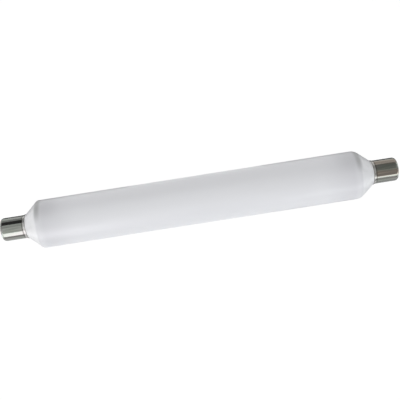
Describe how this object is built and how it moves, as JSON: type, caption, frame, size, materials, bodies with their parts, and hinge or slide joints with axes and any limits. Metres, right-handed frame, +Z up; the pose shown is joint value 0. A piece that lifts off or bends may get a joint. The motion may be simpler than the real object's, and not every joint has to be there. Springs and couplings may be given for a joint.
{
  "type": "tubular light bulb",
  "caption": "Opal tubular lamp with a cone at each end and a plain drawn metal cap on each neck, for lighting a mirror, a cabinet or a worktop.",
  "frame": {"origin": "the middle of the lamp, on its axis", "axes": "+X along the lamp's axis towards the end with the soft shoulder, +Z up with the lamp lying level"},
  "size_m": [0.31, 0.0376, 0.0376],
  "materials": {
    "opal_glass": "satin",
    "plated_cap": "polished",
    "cement": "matte",
    "lead_wire": "satin",
    "solder": "satin"
  },
  "bodies": {
    "root": {"opal_envelope": "opal_glass", "left_cap_shell": "plated_cap", "right_cap_shell": "plated_cap", "left_capping_cement": "cement", "right_capping_cement": "cement", "left_lead_wire": "lead_wire", "right_lead_wire": "lead_wire", "left_contact_solder": "solder", "right_contact_solder": "solder"}
  },
  "joints": []
}
